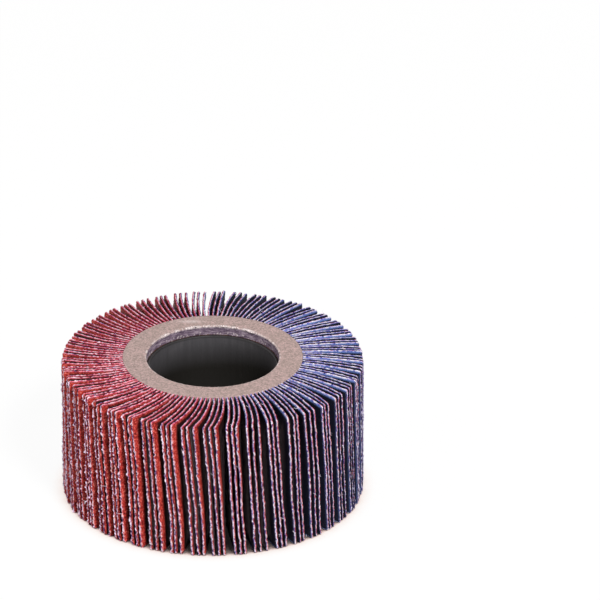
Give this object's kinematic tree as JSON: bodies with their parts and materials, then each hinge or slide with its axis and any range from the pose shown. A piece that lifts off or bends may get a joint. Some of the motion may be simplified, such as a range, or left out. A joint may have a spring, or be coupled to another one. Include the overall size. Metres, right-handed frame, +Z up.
{
  "type": "flap wheel",
  "caption": "Abrasive flap wheel: coated cloth flaps leaning round a liner tube, their roots cast in resin between two fibre rings, standing on its face.",
  "frame": {"origin": "on the wheel's axis at its lower face, the plane that it stands on", "axes": "+Z up along the wheel's axis; +X to the right and +Y away from the viewer in the picture; turns are anticlockwise seen from above"},
  "size_m": [0.105, 0.105, 0.0508],
  "materials": {
    "flap_cloth": "coated cloth: red-brown abrasive grain on the anticlockwise faces, blue-violet twill on the others, lilac cut edges with loose threads",
    "fibre": "matt beige-grey vulcanised fibre with fine mottling, a torn lip at the bore and a smear of glue",
    "resin": "dark cast resin, hidden between the rings",
    "liner": "smooth dark liner tube with a dull sheen"
  },
  "bodies": {
    "root": {"bore_tube": "liner", "resin_core": "resin", "upper_ring": "fibre", "lower_ring": "fibre", "flap_bunch_01": "flap_cloth", "flap_bunch_02": "flap_cloth", "flap_bunch_03": "flap_cloth", "flap_bunch_04": "flap_cloth", "flap_bunch_05": "flap_cloth", "flap_bunch_06": "flap_cloth", "flap_bunch_07": "flap_cloth", "flap_bunch_08": "flap_cloth", "flap_bunch_09": "flap_cloth", "flap_bunch_10": "flap_cloth", "flap_bunch_11": "flap_cloth", "flap_bunch_12": "flap_cloth", "flap_bunch_13": "flap_cloth", "flap_bunch_14": "flap_cloth", "flap_bunch_15": "flap_cloth", "flap_bunch_16": "flap_cloth", "flap_bunch_17": "flap_cloth", "flap_bunch_18": "flap_cloth", "flap_bunch_19": "flap_cloth", "flap_bunch_20": "flap_cloth", "flap_bunch_21": "flap_cloth", "flap_bunch_22": "flap_cloth", "flap_bunch_23": "flap_cloth", "flap_bunch_24": "flap_cloth", "flap_bunch_25": "flap_cloth", "flap_bunch_26": "flap_cloth", "flap_bunch_27": "flap_cloth", "flap_bunch_28": "flap_cloth", "flap_bunch_29": "flap_cloth", "flap_bunch_30": "flap_cloth", "flap_bunch_31": "flap_cloth", "flap_bunch_32": "flap_cloth", "flap_bunch_33": "flap_cloth", "flap_bunch_34": "flap_cloth", "flap_bunch_35": "flap_cloth", "flap_bunch_36": "flap_cloth", "flap_bunch_37": "flap_cloth", "flap_bunch_38": "flap_cloth", "flap_bunch_39": "flap_cloth", "flap_bunch_40": "flap_cloth", "flap_bunch_41": "flap_cloth", "flap_bunch_42": "flap_cloth", "flap_bunch_43": "flap_cloth", "flap_bunch_44": "flap_cloth", "flap_bunch_45": "flap_cloth"}
  },
  "joints": []
}
